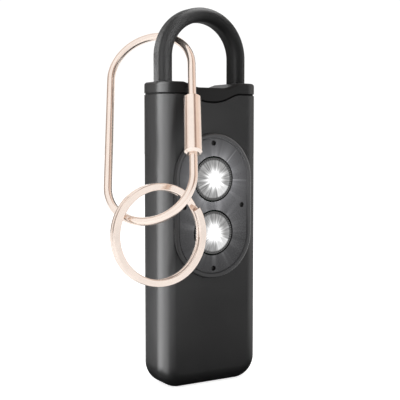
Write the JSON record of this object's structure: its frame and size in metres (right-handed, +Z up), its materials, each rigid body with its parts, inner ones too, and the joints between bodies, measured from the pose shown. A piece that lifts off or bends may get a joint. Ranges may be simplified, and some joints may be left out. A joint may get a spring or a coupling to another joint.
{
  "type": "personal safety alarm",
  "caption": "Slim black keychain alarm with a pull-off cap and loop, round front lamps in a pill-shaped window, a rear siren grille, a screw link and a split ring.",
  "frame": {"origin": "middle of the flat foot of the casing", "axes": "+Z up along the casing to the pull loop, lamps face -Y, +X to the right when the lamps are seen from the front"},
  "size_m": [0.0582, 0.043, 0.1218],
  "materials": {
    "case_plastic": "satin black moulding",
    "screw_steel": "blackened steel",
    "blade_plastic": "plain, undyed",
    "bezel_plastic": "glossy dark grey",
    "panel_plastic": "glossy smoky grey",
    "board": "green solder mask",
    "chip_plastic": "matt black",
    "core_iron": "ferrite, plain",
    "copper": "enamelled copper wire",
    "capacitor_metal": "bright can",
    "inner_plastic": "plain moulding",
    "brass_plate": "thin rolled plate",
    "ceramic": "silvered ceramic",
    "cell_steel": "nickel-plated steel",
    "contact_metal": "plated spring bronze",
    "plunger_plastic": "plain red moulding",
    "rose_gold": "polished pale rose-gold plating on steel",
    "reflector_metal": "mirror-bright plating",
    "lens_clear": "clear",
    "led": "lit white lamp"
  },
  "bodies": {
    "alarm_body": {"casing": "case_plastic", "rear_cover": "case_plastic", "cover_screws": "screw_steel", "window_bezel": "bezel_plastic", "window_panel": "panel_plastic", "circuit_board": "board", "driver_chip": "chip_plastic", "coil_core": "core_iron", "coil_winding": "copper", "board_capacitor": "capacitor_metal", "siren_chamber": "inner_plastic", "siren_plate": "brass_plate", "siren_ceramic": "ceramic", "battery_tray": "inner_plastic", "coin_cells": "cell_steel", "cell_floor_contact": "contact_metal", "cell_clip_contact": "contact_metal", "contact_block": "inner_plastic", "contact_leaves": "contact_metal", "switch_body": "inner_plastic", "lamp_reflector_upper": "reflector_metal", "lamp_reflector_lower": "reflector_metal", "lamp_lens_upper": "lens_clear", "lamp_lens_lower": "lens_clear", "lamp_led_upper": "led", "lamp_led_lower": "led"},
    "cap_body": {"pull_cap": "case_plastic", "pull_loop": "case_plastic", "pull_blade": "blade_plastic"},
    "link_body": {"link_bow": "rose_gold"},
    "sleeve_body": {"link_sleeve": "rose_gold"},
    "ring_body": {"split_ring": "rose_gold"},
    "button_body": {"lamp_button": "case_plastic", "switch_plunger": "plunger_plastic"}
  },
  "joints": [
    {"name": "cap_pull", "type": "slide", "parent": "alarm_body", "child": "cap_body", "axis": [0, 0, 1], "range_m": [0, 0.022]},
    {"name": "button_press", "type": "slide", "parent": "alarm_body", "child": "button_body", "axis": [0, -1, 0], "range_m": [0, 0.0005], "stiffness_N_per_m": 1000},
    {"name": "link_swing", "type": "hinge", "parent": "cap_body", "child": "link_body", "pos_m": [-0.01355, -0.0002, 0.106], "axis": [0, 0, 1], "range_deg": [-105, 5]},
    {"name": "sleeve_travel", "type": "slide", "parent": "link_body", "child": "sleeve_body", "axis": [-0.2509, -0.4559, -0.8539], "range_m": [0, 0.0072]},
    {"name": "ring_swing", "type": "hinge", "parent": "link_body", "child": "ring_body", "pos_m": [-0.03319, -0.01666, 0.05603], "axis": [0.543, -0.818, -0.19], "range_deg": [-75, 5]}
  ]
}
